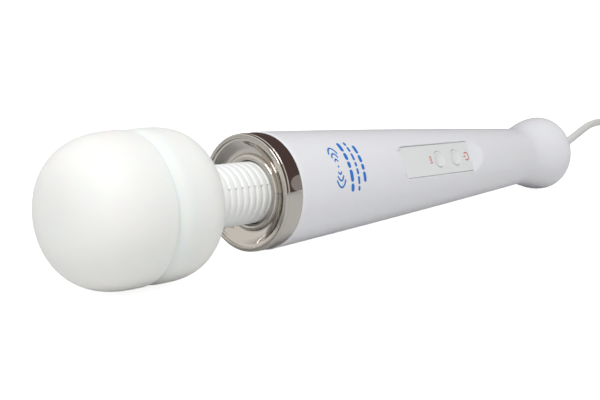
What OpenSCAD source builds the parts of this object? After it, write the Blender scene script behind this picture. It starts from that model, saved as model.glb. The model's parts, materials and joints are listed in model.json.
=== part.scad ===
// Handheld wand massager, lying on a flat surface with its lead coiled beside the tail.
// Everything on the wand is drawn about its own axis: X runs from the head to the tail,
// and station 0 is the front plane of the chrome collar. lay() then puts the wand down so
// that the head and the tail rim touch z = 0 and its box is centred on the origin.
// The lead and its plug are drawn straight in the frame of the finished part.

/* [Head] */
// Outside diameter of the head
head_d = 60; // [56:0.5:64]
// Length of the front dome along the axis
dome_l = 27.5; // [25:0.5:30]
// Fullness of the dome, where 2 is an ellipse
dome_power = 2.5; // [2.2:0.1:3]
// Wall of the silicone cover
cover_wall = 2.6; // [2:0.1:3.2]
// Wall of the rigid core under the cover
core_wall = 2.2; // [1.8:0.1:2.6]
// Depth of the groove behind the dome
groove_depth = 1.5; // [1:0.1:2]
// Distance from the collar to the rounded rear end of the head
neck_gap = 30.5; // [28:0.5:34]

/* [Neck] */
// Crest diameter of the bellows
bellows_d = 26; // [24:0.5:26]
// Distance from one rib to the next
rib_pitch = 3.6; // [3.2:0.1:4]
// Depth of the grooves between ribs
rib_depth = 1.7; // [1.2:0.1:2]
// Rubber thickness of the bellows
bellows_wall = 1.5; // [1.2:0.1:1.6]
// Diameter of the flexible drive shaft
flex_d = 3.6; // [3:0.1:4]

/* [Collar] */
// Diameter of the chrome band
collar_d = 49.8; // [49:0.1:50.2]
// Width of the chrome band
collar_w = 9.7; // [9:0.1:10.5]
// Outside diameter of the inner chrome ring
socket_d = 32.8; // [32:0.2:34]

/* [Handle] */
// Distance from the collar front plane to the tail end
handle_l = 244; // [240:1:250]
// Diameter just behind the collar
front_d = 50.2; // [50:0.1:50.8]
// Diameter at the waist in front of the flared tail
waist_d = 31.4; // [30:0.1:32.5]
// Diameter of the flared tail rim
rim_d = 41.4; // [40:0.1:44]
// Plastic thickness of the two shells
shell_wall = 2.5; // [2.2:0.1:2.8]
// Roll of the control panel from straight up
panel_roll = 67; // [62:1:72]

/* [Control panel] */
// Width of the pocket around the panel
pocket_w = 15.2; // [14.8:0.2:16.2]
// Station of the middle of the panel
panel_mid = 114; // [112:1:116]
// Length of the flat panel
panel_l = 60; // [58:1:62]
// Diameter of each button
button_d = 7.8; // [7.2:0.1:8.2]
// Travel of each button
button_travel = 0.6; // [0.4:0.1:0.7]

/* [Drive] */
// Diameter of the motor can
motor_d = 31; // [28:0.5:32]
// Length of the motor can
motor_l = 36; // [32:1:37]
// Diameter of the off-centre weight
weight_d = 32; // [26:1:36]

/* [Lead] */
// Diameter of the mains lead
cord_d = 4.6; // [4.4:0.1:4.8]
// Mean radius of the coiled turns
coil_r = 26; // [25:0.5:27]

/* [Hidden] */
$fn = 96;
eps = 0.01;
gap = 0.1;

// Head outline
head_r = head_d / 2;
head_rear = -neck_gap;
rear_l = 17.5;
rear_power = 2.45;
land_end = head_rear - rear_l;
land_start = land_end - 8.5;
groove_at = land_start - 7;
dome_start = groove_at - 2.5;
neck_hole_r = bellows_d / 2 + 0.4;
core_split = -58;

// Bearings and off-centre weight
bearing_od = 17;
bearing_w = 6;
shaft_r = 3;
running_fit = 0.05;
front_bearing_at = -84;
rear_bearing_at = -46;
drive_shaft_start = -86;
drive_shaft_end = -38;

// Neck
crest_r = bellows_d / 2;
cuff_r = crest_r - rib_depth - bellows_wall;
tube_r = cuff_r - 0.1;
ribs = 10;
ribs_start = -30;
front_cuff = -34.3;
rear_cuff = 8.9;
spring_r = 5.6;
spring_wire = 0.8;
spring_clear_r = spring_r + spring_wire + 0.5;
front_flange_r = neck_hole_r - 1.1;
rear_flange_r = 17.6;

// Handle outline
waist_at = 211;
rim_round = 5;
rim_at = handle_l - rim_round;
inner_end = handle_l - 3;
belly = 0.42;
ramp_l = 13;
panel_drop = 18.66;
panel_slope = 2.7;
plate_t = 1.3;
tray_t = 1.6;
button_gap = 0.25;
board_top = -6.7;
mode_at = 1.5;
power_at = 16.5;
boss_front = [27, 16];
boss_rear = [166, 11];

// The wand rests on the rear of the head and on the tail rim
rest_run = rim_at - land_end;
rest_rise = head_r - (rim_d / 2 - rim_round);
lay_tilt = atan(rest_rise / rest_run) - asin(rim_round / norm([rest_run, rest_rise]));
axis_height = head_r * cos(lay_tilt) + land_end * sin(lay_tilt);
tip_at = dome_start - dome_l;
mid_x = (tip_at + handle_l) / 2 * cos(lay_tilt);

// Route of the lead, from the strain relief to the coil, in the frame of the part
cord_r = cord_d / 2;
exit_point = [168.7, 0, 20.5];
route = [exit_point, [175.5, 0.2, 20.6], [182, 0.6, 20.7], [190, 1.6, 21.2], [198.5, 3, 21.9], [209, 5, 23.1],
    [221, 7.4, 24.7], [234, 10.2, 26.5], [248, 13.2, 28.1], [262, 15.9, 28.8], [275.5, 17.4, 28.5],
    [289, 16.9, 27.1], [301.5, 13.4, 24.9], [311.5, 6.6, 22.7], [318, -2.6, 20.8], [320.2, -13.4, 19.3],
    [317.6, -24.4, 18.4], [311, -33.4, 17.6], [302, -39.4, 17], [292.7, -42.1, 15.9], [284, -42, 13.9],
    [276, -40.2, 12.1]];
relief_points = 4;
coil_at = [283, -20];
coil_side = 3;
coil_h = coil_side * cord_d;
coil_inner = coil_r - coil_side * cord_d / 2;
coil_outer = coil_r + coil_side * cord_d / 2;
tie_angle = 25;
end_route = [[283, -50.6, 2.3], [277, -50.9, 2.3], [270, -51.6, 2.4], [263, -52.4, 2.9], [257, -52.9, 3.9],
    [251, -53, 5.2], [246, -53, 6]];
plug_at = [246, -53, 6];

// ---------- outlines ----------

// Rounded corner curve from (0, 1) to (1, 0) whose fullness is set by a power
function full_arc(power, steps) = [for (i = [0:steps])
    let (a = 90 * i / steps) [pow(sin(a), 2 / power), pow(cos(a), 2 / power)]];

function dome_points(inset) = [for (p = full_arc(dome_power, 20))
    [dome_start - p[0] * (dome_l - inset), p[1] * (head_r - 0.1 - inset)]];

function rear_points(inset, low_r) = [for (p = full_arc(rear_power, 14))
    [land_end + p[0] * (rear_l - inset), low_r + p[1] * (head_r - inset - low_r)]];

// Radius of the handle skin at a station in front of the waist
function cone_r(s) = let (u = s / waist_at)
    front_d / 2 + 0.5 + (waist_d / 2 - front_d / 2 - 0.5) * u + 4 * belly * u * (1 - u);

// Smooth rise from the waist to the tail rim
function flare_r(s) = let (u = (s - waist_at) / (rim_at - waist_at))
    waist_d / 2 + (rim_d - waist_d) / 2 * u * u * (3 - 2 * u);

function handle_skin(inset) = concat(
    [for (s = [collar_w + gap:8:waist_at - 4]) [s, cone_r(s) - inset]],
    [for (i = [0:8]) let (s = waist_at + (rim_at - waist_at) * i / 8) [s, flare_r(s) - inset]],
    [for (a = [15:15:90]) [rim_at + (rim_round - inset) * sin(a), rim_d / 2 - rim_round + (rim_round - inset) * cos(a)]]);

module spun(points) {
    rotate([0, 90, 0]) rotate_extrude() polygon([for (p = points) [p[1], p[0]]]);
}

module rod(from, to, r) {
    translate([from, 0, 0]) rotate([0, 90, 0]) cylinder(h = to - from, r = r);
}

module tube(from, to, r_out, r_in) {
    difference() {
        rod(from, to, r_out);
        rod(from - 1, to + 1, r_in);
    }
}

// ---------- placing ----------

module lay() {
    translate([-mid_x, 0, axis_height]) rotate([0, lay_tilt, 0]) children();
}

module rolled() {
    rotate([panel_roll, 0, 0]) children();
}

// Panel frame: origin on the panel's top face, +X towards the tail, +Z out of the handle
module on_panel() {
    lay() rolled() translate([panel_mid, 0, panel_drop]) rotate([0, panel_slope, 0]) children();
}

// ---------- swept tubes ----------

function along(points, i) = let (last = len(points) - 1)
    points[min(i + 1, last)] - points[max(i - 1, 0)];
function unit(v) = v / norm(v);
function side_of(dir) = unit(cross(dir, abs(dir[2]) > 0.9 ? [1, 0, 0] : [0, 0, 1]));
function ring_at(points, i, r, sides) = let (dir = unit(along(points, i)), u = side_of(dir), v = cross(dir, u))
    [for (k = [0:sides - 1]) points[i] + r * (cos(360 * k / sides) * u + sin(360 * k / sides) * v)];

// Solid tube along points, with a radius for each point
module sweep(points, radii, sides) {
    count = len(points);
    skin = [for (i = [0:count - 1]) each ring_at(points, i, radii[i], sides)];
    walls = [for (i = [0:count - 2], k = [0:sides - 1])
        let (a = i * sides + k, b = i * sides + (k + 1) % sides)
            each [[a, a + sides, b + sides], [a, b + sides, b]]];
    first_end = [for (k = [0:sides - 1]) k];
    last_end = [for (k = [sides - 1:-1:0]) (count - 1) * sides + k];
    polyhedron(points = skin, faces = concat(walls, [first_end, last_end]));
}

// ---------- head ----------

module head_skin() {
    spun(concat([[dome_start, 0]], [for (i = [20:-1:0]) dome_points(0)[i]],
        [[groove_at, head_r - 0.1], [groove_at + 0.5, head_r - groove_depth], [land_start, head_r]],
        rear_points(0, neck_hole_r), [[head_rear, 0]]));
}

module head_cavity(inset, low_r, end_inset) {
    spun(concat([[dome_start, 0]], [for (i = [20:-1:0]) dome_points(inset)[i]],
        [[land_start, head_r - inset]], rear_points(inset, low_r), [[head_rear - end_inset, 0]]));
}

module head_cover() color("whitesmoke") lay() difference() {
    head_skin();
    head_cavity(cover_wall, neck_hole_r, cover_wall);
    rod(head_rear - cover_wall - 1, head_rear + 1, neck_hole_r);
}

module core_body() {
    core_in = cover_wall + gap;
    difference() {
        head_cavity(core_in, neck_hole_r - 2, core_in);
        head_cavity(core_in + core_wall, neck_hole_r - 2, core_in + core_wall);
        rod(head_rear - 12, head_rear + 1, front_flange_r + gap);
        rod(front_cuff - gap, head_rear + 1, crest_r + gap);
    }
}

// Spoked seat that holds one bearing in the middle of the core
module bearing_seat(from) {
    difference() {
        union() {
            rod(from - 1, from + bearing_w, bearing_od / 2 + 2);
            for (a = [0:90:270])
                rotate([a, 0, 0]) translate([from - 1, -1.2, 0]) cube([bearing_w, 2.4, head_r]);
        }
        rod(from, from + bearing_w + 1, bearing_od / 2);
        rod(from - 2, from + 1, bearing_od / 2 - 2);
    }
}

module head_core_front() color("gainsboro") lay() intersection() {
    union() {
        core_body();
        intersection() {
            head_cavity(cover_wall + gap + core_wall / 2, neck_hole_r - 2, 6);
            bearing_seat(front_bearing_at);
        }
    }
    rod(tip_at, core_split - gap, head_d);
}

module head_core_rear() color("gainsboro") lay() intersection() {
    union() {
        core_body();
        intersection() {
            head_cavity(cover_wall + gap + core_wall / 2, neck_hole_r - 2, 6);
            bearing_seat(rear_bearing_at);
        }
    }
    rod(core_split, head_rear, head_d);
}

module bearing(from) {
    tube(from, from + bearing_w, bearing_od / 2, shaft_r + running_fit);
}

module head_bearing_front() color("silver") lay() bearing(front_bearing_at);

module head_bearing_rear() color("silver") lay() bearing(rear_bearing_at);

module eccentric_shaft() color("dimgray") lay() rod(drive_shaft_start, drive_shaft_end, shaft_r);

weight_from = -72;
weight_to = -52;
weight_hub_r = 7;
module eccentric_weight() color("slategray") lay() difference() {
    union() {
        intersection() {
            rod(weight_from, weight_to, weight_d / 2);
            translate([weight_from, -weight_d, -weight_d]) cube([weight_to - weight_from, 2 * weight_d, weight_d]);
        }
        rod(weight_from, weight_to, weight_hub_r);
    }
    rod(weight_from - 1, weight_to + 1, shaft_r);
    translate([(weight_from + weight_to) / 2, 0, 0]) cylinder(h = weight_d, r = 1.5);
}

module weight_screw() color("black") lay()
    translate([(weight_from + weight_to) / 2, 0, shaft_r]) cylinder(h = weight_hub_r - shaft_r - 0.3, r = 1.5);

// ---------- neck ----------

module neck_front_flange() color("gainsboro") lay() difference() {
    union() {
        rod(front_cuff - 2.4, front_cuff - gap, front_flange_r);
        rod(front_cuff - 1, ribs_start + 4, tube_r);
    }
    rod(front_cuff - 4, ribs_start + 5, spring_clear_r);
}

// Wavy wall: broad round crests with narrow grooves
function rib_wave(s) = let (u = (s - ribs_start) / rib_pitch) abs(sin(180 * u));
rib_steps = 8;
function bellows_line(base) = [for (i = [0:ribs * rib_steps])
    let (s = ribs_start + i * rib_pitch / rib_steps) [s, base + rib_depth * pow(rib_wave(s), 0.6)]];

module neck_bellows() color("white") lay() spun(concat(
    [[front_cuff, cuff_r], [front_cuff, crest_r - 0.2]],
    bellows_line(crest_r - rib_depth),
    [[rear_cuff, crest_r - rib_depth], [rear_cuff, cuff_r]],
    [for (i = [ribs * rib_steps:-1:0]) bellows_line(cuff_r)[i]]));

spring_turns = 11;
spring_from = -33;
spring_to = 6;
spring_steps = 14;
module neck_spring() color("silver") lay()
    sweep([for (i = [0:spring_turns * spring_steps]) let (a = 360 * i / spring_steps)
        [spring_from + (spring_to - spring_from) * i / (spring_turns * spring_steps), spring_r * cos(a), spring_r * sin(a)]],
        [for (i = [0:spring_turns * spring_steps]) spring_wire], 6);

module flexible_drive_shaft() color("darkgray") lay() union() {
    rod(drive_shaft_end + 0.3, 21.7, flex_d / 2);
    rod(drive_shaft_end + 0.3, drive_shaft_end + 6, flex_d / 2 + 1);
    rod(16, 21.7, flex_d / 2 + 1);
}

module neck_rear_flange() color("gainsboro") lay() difference() {
    union() {
        rod(2, rear_cuff + 1, tube_r);
        rod(rear_cuff + gap, rear_cuff + 2.4, rear_flange_r);
    }
    rod(1, rear_cuff + 3, spring_clear_r);
}

// ---------- collar ----------

collar_r = collar_d / 2;
socket_r = socket_d / 2;
dish_depth = 3.2;
register_r = 20.6;
module chrome_collar() color("silver") lay() spun(concat(
    [[collar_w, register_r + gap], [collar_w, collar_r - 0.2], [collar_w - 0.2, collar_r], [1.4, collar_r]],
    [for (a = [0:30:90]) [1 - sin(a), collar_r - 1 + cos(a)]],
    [[0, collar_r - 2], [0.7, collar_r - 2.2], [0.7, collar_r - 2.8]],
    [for (i = [0:6]) let (u = i / 6)
        [0.8 + dish_depth * sin(90 * u), collar_r - 2.9 - (collar_r - 2.9 - socket_r - gap) * u]],
    [[dish_depth + 2.2, socket_r + gap], [dish_depth + 2.2, register_r + gap]]));

module neck_socket() color("silver") lay() spun(concat(
    [[rear_cuff, socket_r]],
    [[dish_depth + 1, socket_r]],
    [for (a = [0:30:150]) [dish_depth + 0.6 - 1.4 * sin(a), socket_r - 1.5 + 1.5 * cos(a)]],
    [[dish_depth + 0.4, crest_r + 0.4], [rear_cuff, crest_r + 0.4]]));

// ---------- handle ----------

// Flat outline of the pocket: round head end, long straight sides, rounded tail corners
function pocket_outline(grow, tail) = let (half = pocket_w / 2 + grow, front = -panel_l / 2 - 1 - grow,
    bow = 17, bow_angle = asin((half - 2) / bow), corner = 2.2 + grow, nose = bow - bow * cos(bow_angle)) concat(
    [for (a = [-bow_angle:bow_angle / 6:bow_angle + eps]) [front + bow - bow * cos(a), bow * sin(a)]],
    [for (a = [60:-15:0]) [front + nose + 1.6 - 1.6 * sin(a), half - 2 * (1 - cos(a))]],
    tail > panel_l / 2
        ? [for (a = [0:15:90]) [tail - 6 + 6 * sin(a), half - 6 + 6 * cos(a)]]
        : [for (a = [0:30:90]) [tail - 0.8 + 0.8 * sin(a), half - 0.8 + 0.8 * cos(a)]],
    tail > panel_l / 2
        ? [for (a = [90:-15:0]) [tail - 6 + 6 * sin(a), -half + 6 - 6 * cos(a)]]
        : [for (a = [90:-30:0]) [tail - 0.8 + 0.8 * sin(a), -half + 0.8 - 0.8 * cos(a)]],
    [for (a = [0:15:60]) [front + nose + 1.6 - 1.6 * sin(a), -half + 2 * (1 - cos(a))]]);

module pocket_shape(grow, tail, from, to) {
    translate([0, 0, from]) linear_extrude(height = to - from) polygon(pocket_outline(grow, tail));
}

// The pocket: flat floor under the panel, then a ramp that rises to the skin at the tail end
ramp_rise = 2.9;
module pocket_cut() {
    pocket_shape(0, panel_l / 2, -plate_t, 8);
    intersection() {
        pocket_shape(0, panel_l / 2 + ramp_l, -plate_t, 8);
        rotate([90, 0, 0]) linear_extrude(height = 40, center = true) polygon([
            [0, 0], [panel_l / 2, 0], for (i = [1:8]) let (u = i / 8)
                [panel_l / 2 + ramp_l * u, ramp_rise * (1 - cos(90 * u)) * 0.6 + ramp_rise * u * 0.4],
            [panel_l / 2 + ramp_l, 8], [0, 8]]);
    }
}

module in_panel_frame() {
    translate([panel_mid, 0, panel_drop]) rotate([0, panel_slope, 0]) children();
}

module handle_solid() spun(concat([[collar_w + gap, 0]], handle_skin(0), [[handle_l, 0]]));

front_opening_r = 18.4;
tail_hole_r = 5.1;
boss_r = 3.2;
head_recess_r = 3;
module handle_hollow() spun(concat(
    [[collar_w - 20, 0], [collar_w - 20, front_opening_r], [collar_w + 2, front_opening_r]],
    [for (p = handle_skin(shell_wall)) if (p[0] > collar_w + 4 && p[0] < inner_end - 0.3) p],
    [[inner_end, rim_d / 2 - rim_round], [inner_end, 0]]));

module half_space(side) {
    translate([-20, -40, side > 0 ? 0.08 : -60.08]) cube([300, 80, 60]);
}

module bosses(r, from, to) {
    for (b = [boss_front, boss_rear], side = [-1, 1])
        translate([b[0], side * b[1], from]) cylinder(h = to - from, r = r, $fn = 32);
}

// Whole casing with the screw bosses of one half: 1 is the half with the panel, -1 the other
module casing(side) {
    difference() {
        union() {
            handle_solid();
            tube(dish_depth + 2.4, collar_w + 1, register_r, front_opening_r);
        }
        handle_hollow();
        rod(inner_end - 1, handle_l + 1, tail_hole_r);
    }
    intersection() {
        union() {
            bosses(boss_r, side > 0 ? 0 : -30, side > 0 ? 30 : 0);
            if (side > 0)
                in_panel_frame() pocket_shape(shell_wall, panel_l / 2 + ramp_l, -plate_t - tray_t, 1);
        }
        spun(concat([[collar_w + gap, 0]], handle_skin(shell_wall / 2), [[handle_l - 1, 0]]));
    }
    if (side > 0) in_panel_frame() board_holes()
        translate([0, 0, board_top]) cylinder(h = -board_top - plate_t - 0.4, r = 1.7, $fn = 24);
}

// Copies at the four corners where the control board is screwed down
module board_holes() {
    for (x = [-24, 27], y = [-4.6, 4.6]) translate([x, y, 0]) children();
}

module handle_shell_front() color("ghostwhite") lay() rolled() difference() {
    intersection() {
        casing(1);
        half_space(1);
    }
    in_panel_frame() {
        pocket_cut();
        for (x = [mode_at, power_at])
            translate([x, 0, -plate_t - tray_t - 1]) cylinder(h = 4, r = button_d / 2 + 1.2);
        board_holes() translate([0, 0, board_top - 1]) cylinder(h = 4, r = 0.9, $fn = 24);
    }
    bosses(1.2, -1, 9);
}

module handle_shell_back() color("ghostwhite") lay() rolled() difference() {
    intersection() {
        casing(-1);
        half_space(-1);
    }
    bosses(1.7, -20, 1);
    bosses(head_recess_r, -40, -5);
}

module shell_screws() color("dimgray") lay() rolled() {
    bosses(1.15, -5.5, 8);
    difference() {
        bosses(head_recess_r - 0.2, -7.4, -5);
        for (b = [boss_front, boss_rear], side = [-1, 1]) translate([b[0], side * b[1], -7.5]) {
            cube([3.4, 0.8, 2], center = true);
            cube([0.8, 3.4, 2], center = true);
        }
    }
}

// ---------- motor ----------

motor_from = 32;
motor_to = motor_from + motor_l;
motor_shaft_r = 2.5;
motor_r = motor_d / 2;
module motor_can() color("silver") lay() difference() {
    rod(motor_from, motor_to, motor_r);
    rod(motor_from + 2, motor_to + 1, motor_r - 1.5);
    rod(motor_from - 1, motor_to, motor_shaft_r + running_fit);
}

module motor_stator() color("dimgray") lay() tube(motor_from + 5, motor_to - 5, motor_r - 1.5, 10.2);

module motor_end_cap() color("black") lay() difference() {
    union() {
        rod(motor_to, motor_to + 2.5, motor_r);
        rod(motor_to - 2.5, motor_to + 1, motor_r - 1.6);
        rod(motor_to, motor_to + 4, 6);
    }
    rod(motor_to - 4, motor_to + 3.4, motor_shaft_r + running_fit);
}

module motor_rotor() color("peru") lay() tube(motor_from + 5, motor_to - 5, 9.7, motor_shaft_r);

module motor_shaft() color("silver") lay() rod(24, motor_to + 3, motor_shaft_r);

module drive_coupling() color("goldenrod") lay() tube(22, 30, 6, motor_shaft_r);

module motor_mount(from, r_out) {
    difference() {
        rod(from, from + 8, r_out);
        rod(from - 1, from + 9, motor_r);
        for (a = [30:60:330]) rotate([a, 0, 0]) translate([from - 1, 0, (motor_r + r_out) / 2])
            rotate([0, 90, 0]) cylinder(h = 10, r = 1.5, $fn = 24);
    }
}

module motor_mount_front() color("black") lay() motor_mount(motor_from + 2, cone_r(42) - shell_wall - 0.1);

module motor_mount_rear() color("black") lay() motor_mount(motor_to - 10, cone_r(67) - shell_wall - 0.1);

// ---------- controls ----------

module control_panel() color("honeydew") on_panel() difference() {
    pocket_shape(-0.15, panel_l / 2 - 0.1, -plate_t + 0.02, 0);
    for (x = [mode_at, power_at])
        translate([x, 0, -3]) cylinder(h = 6, r = button_d / 2 + button_gap);
}

// Dished cap, retaining flange and the stem that presses the switch, with a little play before it
button_dish_r = 14;
switch_h = 1.1;
plunger_h = 0.6;
stem_end = board_top + switch_h + plunger_h + button_travel + 0.2;
module button(x) {
    translate([x, 0, 0]) {
        difference() {
            union() {
                translate([0, 0, -1.5]) cylinder(h = 1.55, r = button_d / 2);
                translate([0, 0, -2.2]) cylinder(h = 0.75, r = button_d / 2 + 0.8);
            }
            translate([0, 0, button_dish_r - 0.45]) sphere(r = button_dish_r);
        }
        translate([0, 0, stem_end]) cylinder(h = -2 - stem_end, r = 1.5);
    }
}

module power_button() color("honeydew") on_panel() button(power_at);

module mode_button() color("honeydew") on_panel() button(mode_at);

module control_board() color("darkgreen") on_panel() difference() {
    translate([-28, -6.4, board_top - 1.6]) cube([60, 12.8, 1.6]);
    board_holes() translate([0, 0, board_top - 3]) cylinder(h = 4, r = 1, $fn = 24);
}

module button_switches() color("black") on_panel() for (x = [mode_at, power_at]) {
    translate([x - 3, -3, board_top]) cube([6, 6, switch_h]);
    translate([x, 0, board_top + switch_h]) cylinder(h = plunger_h, r = 1.7);
}

module board_screws() color("silver") on_panel() board_holes() {
    translate([0, 0, board_top - 1.6]) cylinder(h = 4, r = 0.85, $fn = 24);
    translate([0, 0, board_top - 2.8]) cylinder(h = 1.2, r = 1.6, $fn = 24);
}

power_board_from = 176;
module power_board() color("darkgreen") lay() rolled() union() {
    translate([power_board_from, -8, -4.6]) cube([38, 16, 1.6]);
    translate([power_board_from + 3, -7, -3]) cube([11, 14, 9]);
    translate([power_board_from + 16, -6, -3]) cube([8, 12, 6]);
    translate([power_board_from + 30, 0, -3]) cylinder(h = 8, r = 3.6);
}

// Two wires from the power board, under the controls, to the motor
module motor_leads() color("firebrick") lay() rolled() for (y = [-3, 3])
    translate([0, y, -9]) rod(motor_to + 2.6, power_board_from + 30, 0.9);

module cord_clamp() color("gainsboro") lay() rolled() difference() {
    translate([229, -7, -6]) cube([6, 14, 9]);
    rod(228, 236, cord_r + 0.1);
}

// ---------- lead ----------

relief_base_r = 5;
relief_tip_r = cord_r + 0.7;
module strain_relief() color("whitesmoke") {
    lay() rod(inner_end - 3, inner_end - 0.1, 7);
    lay() rod(inner_end - 1, handle_l + 0.4, relief_base_r);
    sweep([for (i = [0:relief_points - 1]) route[i]],
        [for (i = [0:relief_points - 1]) relief_base_r - (relief_base_r - relief_tip_r) * i / (relief_points - 1)], 16);
}

module cord_lead() color("lightgray") {
    bare = [for (i = [relief_points - 1:len(route) - 1]) route[i]];
    sweep(bare, [for (p = bare) cord_r], 8);
}

module cord_coil() color("lightgray") translate([coil_at[0], coil_at[1], 0]) rotate_extrude()
    translate([coil_inner, 0]) square([coil_outer - coil_inner, coil_h]);

tie_w = 7;
tie_t = 0.6;
module coil_tie() color("black") translate([coil_at[0], coil_at[1], 0]) rotate([0, 0, tie_angle]) difference() {
    translate([coil_inner - tie_t, -tie_w / 2, 0]) cube([coil_outer - coil_inner + 2 * tie_t, tie_w, coil_h + tie_t]);
    rotate_extrude() translate([coil_inner, -1]) square([coil_outer - coil_inner, coil_h + 1]);
}

module cord_end() color("lightgray") sweep(end_route, [for (p = end_route) cord_r], 8);

// Flat moulded plug lying on its side, blades pointing along -X
plug_l = 24;
plug_w = 21;
plug_t = 12;
plug_neck = 12;
module plug_body() color("whitesmoke") translate(plug_at) {
    translate([-plug_neck - plug_l, 0, 0]) intersection() {
        translate([0, -plug_w / 2, -plug_t / 2]) cube([plug_l, plug_w, plug_t]);
        linear_extrude(height = plug_t, center = true) polygon([[0, -plug_w / 2], [plug_l * 0.6, -plug_w / 2],
            [plug_l, -plug_w / 4], [plug_l, plug_w / 4], [plug_l * 0.6, plug_w / 2], [0, plug_w / 2]]);
    }
    translate([-plug_neck - eps, 0, 0]) rotate([0, 90, 0]) cylinder(h = plug_neck + eps, r1 = 4.6, r2 = cord_r + 0.4);
}

blade_l = 16;
blade_w = 6.3;
blade_t = 1.5;
blade_pitch = 12.7;
module plug_blades() color("silver") translate(plug_at) for (side = [-1, 1]) difference() {
    translate([-plug_neck - plug_l - blade_l, side * blade_pitch / 2 - blade_t / 2, -blade_w / 2])
        cube([blade_l, blade_t, blade_w]);
    translate([-plug_neck - plug_l - blade_l + 4, side * blade_pitch / 2, 0]) rotate([90, 0, 0])
        cylinder(h = 4, r = 1.3, center = true, $fn = 24);
}

head_cover();
head_core_front();
head_core_rear();
head_bearing_front();
head_bearing_rear();
eccentric_shaft();
eccentric_weight();
weight_screw();
neck_front_flange();
neck_bellows();
neck_spring();
flexible_drive_shaft();
neck_rear_flange();
chrome_collar();
neck_socket();
handle_shell_front();
handle_shell_back();
shell_screws();
motor_can();
motor_stator();
motor_end_cap();
motor_rotor();
motor_shaft();
drive_coupling();
motor_mount_front();
motor_mount_rear();
control_panel();
power_button();
mode_button();
control_board();
button_switches();
board_screws();
power_board();
motor_leads();
cord_clamp();
strain_relief();
cord_lead();
cord_coil();
coil_tie();
cord_end();
plug_body();
plug_blades();
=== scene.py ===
"""Looks of a handheld wand massager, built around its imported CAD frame.

Lengths inside the helpers are in millimetres and become metres in wand(), panel() and room().
wand() takes a station along the wand's axis (0 at the collar's front plane, + towards the tail),
a radius, and a turn about the axis from the direction that the control panel faces.
"""
import json
import math

import bmesh
import bpy
from mathutils import Matrix, Vector


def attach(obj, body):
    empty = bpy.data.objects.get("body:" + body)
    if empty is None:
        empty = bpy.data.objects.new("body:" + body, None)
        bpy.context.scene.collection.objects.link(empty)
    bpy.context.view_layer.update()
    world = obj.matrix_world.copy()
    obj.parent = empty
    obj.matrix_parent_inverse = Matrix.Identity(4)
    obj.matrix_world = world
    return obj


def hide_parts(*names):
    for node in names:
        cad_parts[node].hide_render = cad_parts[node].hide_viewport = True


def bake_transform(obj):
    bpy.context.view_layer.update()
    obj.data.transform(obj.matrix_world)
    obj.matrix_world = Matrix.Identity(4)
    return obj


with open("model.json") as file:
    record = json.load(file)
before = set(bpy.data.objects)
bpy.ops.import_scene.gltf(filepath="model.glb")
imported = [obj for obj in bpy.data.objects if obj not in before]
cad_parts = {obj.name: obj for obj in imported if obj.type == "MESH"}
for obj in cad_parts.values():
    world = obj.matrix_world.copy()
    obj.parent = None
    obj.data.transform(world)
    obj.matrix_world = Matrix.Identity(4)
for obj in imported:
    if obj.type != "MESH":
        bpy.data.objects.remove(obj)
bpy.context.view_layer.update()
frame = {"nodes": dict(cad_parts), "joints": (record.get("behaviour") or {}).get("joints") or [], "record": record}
NODES = frame["nodes"]
JOINTS = {j["name"]: j for j in frame["joints"]}
MM = 0.001

# The wand's own axes, read from its joints
AXIS = Vector(JOINTS["motor_spin"]["axis"]).normalized()
FLEX_STATION = -13.0
FLEX = Vector(JOINTS["neck_tilt"]["pos_m"])
COLLAR = FLEX - FLEX_STATION * MM * AXIS
PANEL_OUT = -Vector(JOINTS["power_press"]["axis"]).normalized()
FACE = (PANEL_OUT - PANEL_OUT.dot(AXIS) * AXIS).normalized()
SIDE = FACE.cross(AXIS).normalized()
# Station of the panel's middle, and how far the panel's outer face lies from the axis there
PANEL_MID = 114.0
PANEL_DROP = 18.66
PANEL_LONG = SIDE.cross(PANEL_OUT).normalized()
PANEL_ORIGIN = COLLAR + PANEL_MID * MM * AXIS + PANEL_DROP * MM * FACE


def wand(station, radius=0.0, turn=0.0):
    """Point on or about the wand's axis, in metres."""
    out = math.cos(turn) * FACE + math.sin(turn) * SIDE
    return COLLAR + MM * (station * AXIS + radius * out)


def panel(x, y, z=0.0):
    """Point in the control panel's own frame, in metres."""
    return PANEL_ORIGIN + MM * (x * PANEL_LONG + y * SIDE + z * PANEL_OUT)


# ---------- camera ----------

# Camera place from the collar in mm, and its directions: parts along the wand, across it, and up
CAMERA_AT = (-303.1, -309.8, 66.3)
CAMERA_LOOK = (0.7281, 0.6673, -0.1569)
CAMERA_UP = (0.1026, 0.1202, 0.9875)
LENS = 63.0


def make_camera():
    """Camera at the viewing angle, placed from the collar in the wand's own directions."""
    data = bpy.data.cameras.new("camera")
    data.lens = LENS
    data.sensor_width = 36.0
    data.clip_start = 0.02
    data.clip_end = 40.0
    cam = bpy.data.objects.new("camera", data)
    bpy.context.scene.collection.objects.link(cam)
    across = Vector((0, 1, 0))
    up = AXIS.cross(across)
    place, look, top = [x * AXIS + y * across + z * up for x, y, z in (CAMERA_AT, CAMERA_LOOK, CAMERA_UP)]
    look.normalize()
    right = look.cross(top).normalized()
    cam.location = COLLAR + MM * place
    cam.rotation_mode = "QUATERNION"
    cam.rotation_quaternion = Matrix((right, right.cross(look), -look)).transposed().to_quaternion()
    bpy.context.scene.camera = cam


make_camera()

# ---------- mesh helpers ----------


def new_piece(name, bm, sharp=35.0):
    """Turns a bmesh into a smooth shaded object whose edges over that angle stay sharp."""
    bmesh.ops.recalc_face_normals(bm, faces=bm.faces)
    mesh = bpy.data.meshes.new(name)
    bm.to_mesh(mesh)
    bm.free()
    mesh.shade_smooth()
    mesh.set_sharp_from_angle(angle=math.radians(sharp))
    piece = bpy.data.objects.new(name, mesh)
    bpy.context.scene.collection.objects.link(piece)
    return piece


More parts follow.
